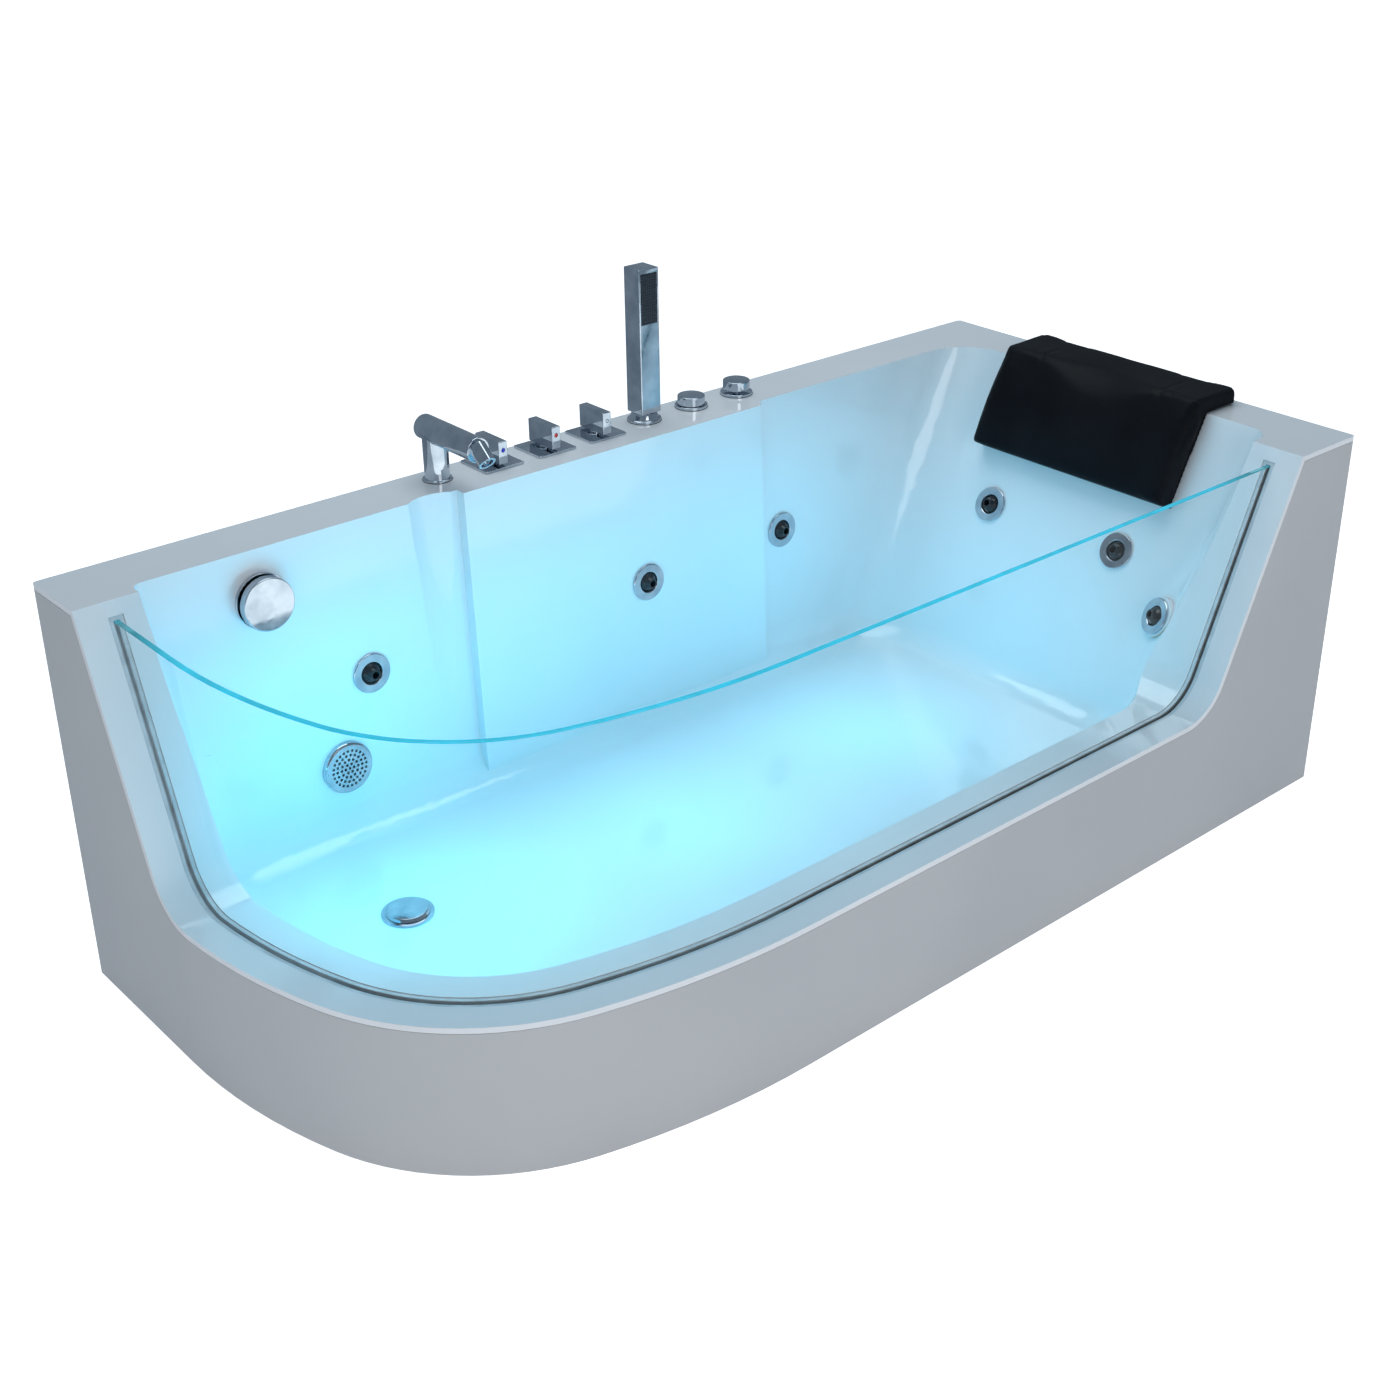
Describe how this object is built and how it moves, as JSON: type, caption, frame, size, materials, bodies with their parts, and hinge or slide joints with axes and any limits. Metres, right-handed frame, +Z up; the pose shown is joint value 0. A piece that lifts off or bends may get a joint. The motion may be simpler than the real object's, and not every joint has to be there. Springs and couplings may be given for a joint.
{
  "type": "jetted bathtub",
  "caption": "Jetted acrylic bathtub with a bent glass front, deck taps, lift-off hand shower, padded headrest, swivelling jets, pump and steel frame.",
  "frame": {"origin": "on the floor, under the middle of the tub", "axes": "+X along the length towards the headrest, +Y from the glass front to the wall behind, +Z up"},
  "size_m": [1.7, 0.8, 0.827],
  "materials": {
    "acrylic": "gloss",
    "glass": "clear",
    "seal_rubber": "matte",
    "frame_steel": "satin",
    "foot_steel": "satin",
    "chrome": "polished",
    "brass": "satin",
    "spray_plastic": "matte",
    "pillow": "satin",
    "pin_plastic": "matte",
    "waste_plastic": "matte",
    "cable_sheath": "matte",
    "jet_plastic": "matte",
    "nozzle_plastic": "gloss",
    "pipe_plastic": "satin",
    "air_plastic": "satin",
    "lens": "frosted",
    "pump_plastic": "matte",
    "shaft_steel": "satin",
    "motor_aluminium": "cast",
    "stator_iron": "rough",
    "cover_paint": "satin",
    "bush_rubber": "matte",
    "box_plastic": "matte",
    "tube_plastic": "clear"
  },
  "bodies": {
    "tub": {"air_button_body": "chrome", "air_pipes": "air_plastic", "air_regulator_body": "chrome", "apron_panel": "acrylic", "control_box": "box_plastic", "control_lid": "box_plastic", "deck_nuts": "brass", "drain_flange": "chrome", "fan_cover": "cover_paint", "frame_rails": "frame_steel", "frame_uprights": "frame_steel", "glass_panel": "glass", "glass_seal": "seal_rubber", "headrest": "pillow", "headrest_pins": "pin_plastic", "jet_bodies": "jet_plastic", "jet_flanges": "chrome", "lamp_housing": "chrome", "lamp_lens": "lens", "levelling_feet": "foot_steel", "lever_plates": "chrome", "mixer_pipes": "brass", "motor_housing": "motor_aluminium", "motor_stator": "stator_iron", "overflow_pipe": "waste_plastic", "overflow_ring": "chrome", "plug_cable": "cable_sheath", "pneumatic_tube": "tube_plastic", "pump_bearings": "shaft_steel", "pump_bushes": "bush_rubber", "pump_casing": "pump_plastic", "pump_plate": "cover_paint", "shower_collar": "chrome", "spout_aerator": "chrome", "spout_column": "chrome", "spout_tube": "chrome", "suction_grille": "chrome", "suction_pipe": "pipe_plastic", "tub_shell": "acrylic", "valve_bodies": "brass", "waste_body": "waste_plastic", "water_pipes": "pipe_plastic"},
    "cold_lever": {"cold_lever": "chrome"},
    "hot_lever": {"hot_lever": "chrome"},
    "diverter_lever": {"diverter_lever": "chrome"},
    "hand_shower": {"shower_handle": "chrome", "spray_face": "spray_plastic"},
    "air_regulator": {"air_regulator_knob": "chrome"},
    "air_button": {"air_button_cap": "chrome"},
    "overflow_knob": {"overflow_knob": "chrome"},
    "drain_plug": {"drain_plug": "chrome"},
    "pump_rotor": {"pump_impeller": "pump_plastic", "pump_shaft": "shaft_steel", "cooling_fan": "pump_plastic"},
    "jet_nozzle_1": {"jet_nozzle_1": "nozzle_plastic"},
    "jet_nozzle_2": {"jet_nozzle_2": "nozzle_plastic"},
    "jet_nozzle_3": {"jet_nozzle_3": "nozzle_plastic"},
    "jet_nozzle_4": {"jet_nozzle_4": "nozzle_plastic"},
    "jet_nozzle_5": {"jet_nozzle_5": "nozzle_plastic"},
    "jet_nozzle_6": {"jet_nozzle_6": "nozzle_plastic"}
  },
  "joints": [
    {"name": "cold_lever_turn", "type": "hinge", "parent": "tub", "child": "cold_lever", "pos_m": [-0.1802, 0.362, 0.6], "axis": [0, 0, 1], "range_deg": [-90, 0]},
    {"name": "hot_lever_turn", "type": "hinge", "parent": "tub", "child": "hot_lever", "pos_m": [-0.0864, 0.362, 0.6], "axis": [0, 0, 1], "range_deg": [0, 90]},
    {"name": "diverter_lever_turn", "type": "hinge", "parent": "tub", "child": "diverter_lever", "pos_m": [0.0074, 0.362, 0.6], "axis": [0, 0, 1], "range_deg": [-45, 45]},
    {"name": "hand_shower_lift", "type": "slide", "parent": "tub", "child": "hand_shower", "axis": [0, 0, 1], "range_m": [0, 0.15]},
    {"name": "air_regulator_turn", "type": "hinge", "parent": "tub", "child": "air_regulator", "pos_m": [0.195, 0.362, 0.6], "axis": [0, 0, 1], "range_deg": [0, 180]},
    {"name": "air_button_press", "type": "slide", "parent": "tub", "child": "air_button", "axis": [0, 0, -1], "range_m": [0, 0.004], "stiffness_N_per_m": 1500, "springref_m": -0.004},
    {"name": "overflow_knob_turn", "type": "hinge", "parent": "tub", "child": "overflow_knob", "pos_m": [-0.592, 0.30616, 0.519], "axis": [0, -0.9992, 0.04], "range_deg": [0, 90]},
    {"name": "drain_plug_lift", "type": "slide", "parent": "tub", "child": "drain_plug", "axis": [0, 0, 1], "range_m": [0, 0.0092]},
    {"name": "jet_1_swivel", "type": "hinge", "parent": "tub", "child": "jet_nozzle_1", "pos_m": [-0.444, 0.306, 0.36476], "axis": [1, 0, 0], "range_deg": [-15, 15]},
    {"name": "jet_2_swivel", "type": "hinge", "parent": "tub", "child": "jet_nozzle_2", "pos_m": [0.037, 0.289, 0.36476], "axis": [1, 0, 0], "range_deg": [-15, 15]},
    {"name": "jet_3_swivel", "type": "hinge", "parent": "tub", "child": "jet_nozzle_3", "pos_m": [0.33, 0.306, 0.36476], "axis": [1, 0, 0], "range_deg": [-15, 15]},
    {"name": "jet_4_swivel", "type": "hinge", "parent": "tub", "child": "jet_nozzle_4", "pos_m": [0.65639, 0.132, 0.37021], "axis": [0, -1, 0], "range_deg": [-15, 15]},
    {"name": "jet_5_swivel", "type": "hinge", "parent": "tub", "child": "jet_nozzle_5", "pos_m": [0.65639, -0.129, 0.37021], "axis": [0, -1, 0], "range_deg": [-15, 15]},
    {"name": "jet_6_swivel", "type": "hinge", "parent": "tub", "child": "jet_nozzle_6", "pos_m": [0.61008, -0.24928, 0.31265], "axis": [-0.4067, -0.9135, 0], "range_deg": [-15, 15]},
    {"name": "pump_spin", "type": "hinge", "parent": "tub", "child": "pump_rotor", "pos_m": [0.69, 0, 0.24], "axis": [0, 1, 0], "continuous": true}
  ],
  "couplings": [
    {"joint": "drain_plug_lift", "follows": "overflow_knob_turn", "m_per_rad": 0.00573}
  ]
}
